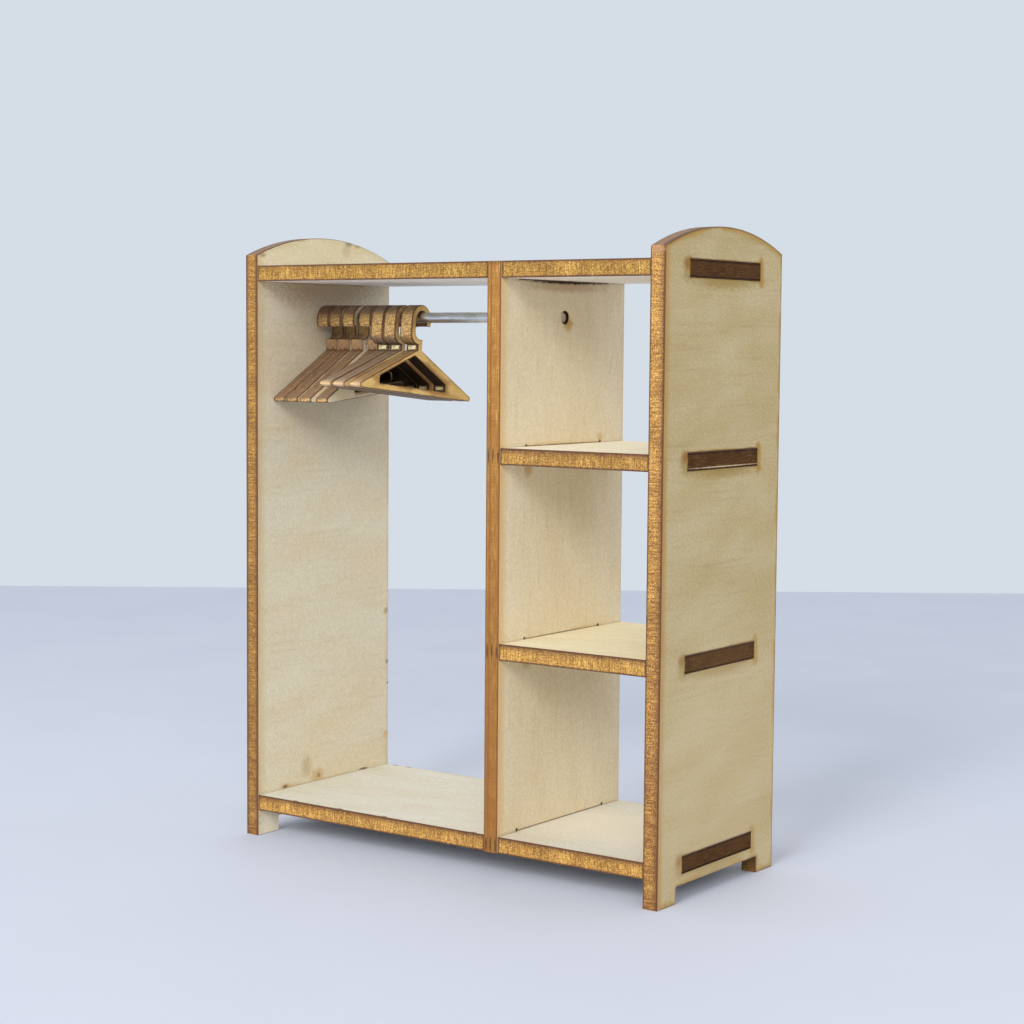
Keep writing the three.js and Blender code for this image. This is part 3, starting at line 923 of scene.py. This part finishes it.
floor_mesh = bmesh.new()
bmesh.ops.create_grid(floor_mesh, x_segments=1, y_segments=1, size=floor_reach)
floor_place = Matrix.Rotation(view_turn, 4, "Z") @ Matrix.Translation((0, floor_behind - floor_reach, 0))
floor_finish = Finish("pale_floor", (0, 0, 0), 0.7)
floor_run = floor_finish.node("Mapping", {
    "Vector": floor_finish.object_place, "Rotation": (0, 0, view_turn),
}, vector_type="TEXTURE").outputs[0]
back_along_it = floor_finish.node("SeparateXYZ", {0: floor_run}).outputs[1]
# The floor darkens towards its far edge: painted shade, for the light falling off away from the lamps.
shade_towards_the_back = floor_finish.ramp(back_along_it, -floor_in_front, floor_behind)
floor_paint = floor_finish.mix(shade_towards_the_back, colour(202, 207, 221), colour(179, 186, 203))
floor_paint = floor_finish.mix(
    floor_finish.ramp(floor_finish.cloud(30.0), 0.3, 0.7, 0.0, 0.1), floor_paint, colour(210, 214, 226)
)
plain_floor = finished(floor_mesh, "plain_floor", floor_place, floor_finish.paint(floor_paint))

backdrop_colour = colour(213, 222, 231)
light_from_beside = 0.5
light_of_the_windows = 1.45
light_from_above = 0.4
window_sills = (0.2, 0.36)  # from 0 level with the floor to 1 straight overhead
window_heads = (0.6, 0.78)
world = bpy.data.worlds.new("pale_surroundings")
bpy.context.scene.world = world
world.use_nodes = True
world_tree = world.node_tree


def world_node(kind, inputs=None, **settings):
    return add_node(world_tree, kind, inputs, **settings)


height = world_node("SeparateXYZ", {0: world_node("TexCoord").outputs["Generated"]}).outputs[2]
strength = world_node("MapRange", {
    "Value": height, "From Min": window_sills[0], "From Max": window_sills[1],
    "To Min": light_from_beside, "To Max": light_of_the_windows,
}, interpolation_type="SMOOTHSTEP").outputs[0]
over_the_windows = world_node("MapRange", {
    "Value": height, "From Min": window_heads[0], "From Max": window_heads[1], "To Min": 0.0, "To Max": 1.0,
}, interpolation_type="SMOOTHSTEP").outputs[0]
strength = world_node(
    "Mix", {0: over_the_windows, 2: strength, 3: light_from_above}, data_type="FLOAT"
).outputs[0]
soft_light = world_node("Background", {"Color": (0.96, 0.98, 1.0, 1.0), "Strength": strength})
backdrop_light = world_node("Background", {"Color": backdrop_colour, "Strength": 1.0})
ray = world_node("LightPath")
seen = ray.outputs["Is Camera Ray"]
for kind in ("Is Glossy Ray", "Is Transmission Ray"):
    seen = world_node("Math", {0: seen, 1: ray.outputs[kind]}, operation="MAXIMUM").outputs[0]
choice = world_node("MixShader", {0: seen, 1: soft_light.outputs[0], 2: backdrop_light.outputs[0]})
world_tree.links.new(choice.outputs[0], world_tree.nodes["World Output"].inputs["Surface"])

# Light
# Two large soft lamps 4 m off, at a low slant: the main one nearly straight in front of the
# wardrobe, and a weaker one further to the right.

lamp_rise, lamp_distance = math.radians(28), 4.0
lamp_colour = (1.0, 0.985, 0.96)
for name, turn, lamp_size, energy in (("front_lamp", 6, 1.57, 110), ("right_lamp", 38, 1.43, 28.6)):
    lamp_data = bpy.data.lights.new(name, "AREA")
    lamp_data.shape = "DISK"
    lamp_data.size = lamp_size
    lamp_data.energy = energy
    lamp_data.color = lamp_colour
    lamp = bpy.data.objects.new(name, lamp_data)
    turn = math.radians(turn)
    lamp_place = lamp_distance * Vector((
        math.cos(lamp_rise) * math.sin(turn), -math.cos(lamp_rise) * math.cos(turn), math.sin(lamp_rise)
    ))
    facing = lamp_place.to_track_quat("Z", "Y").to_matrix().to_4x4()
    lamp.matrix_world = Matrix.Translation(lamp_place) @ facing
    bpy.context.scene.collection.objects.link(lamp)

# Camera
# It stands at about the height of the rod, in front and to the right, and looks slightly down.

camera_data = bpy.data.cameras.new("camera")
camera_data.lens = 74.68
camera_data.sensor_width = 36.0
camera_data.clip_start = 0.01
camera = bpy.data.objects.new("camera", camera_data)
camera.location = (0.235805, -0.323216, 0.096488)
camera.rotation_euler = [math.radians(angle) for angle in (85.4631, -0.4462, 35.9393)]
bpy.context.scene.collection.objects.link(camera)
bpy.context.scene.camera = camera
bpy.context.scene.view_settings.view_transform = "Standard"
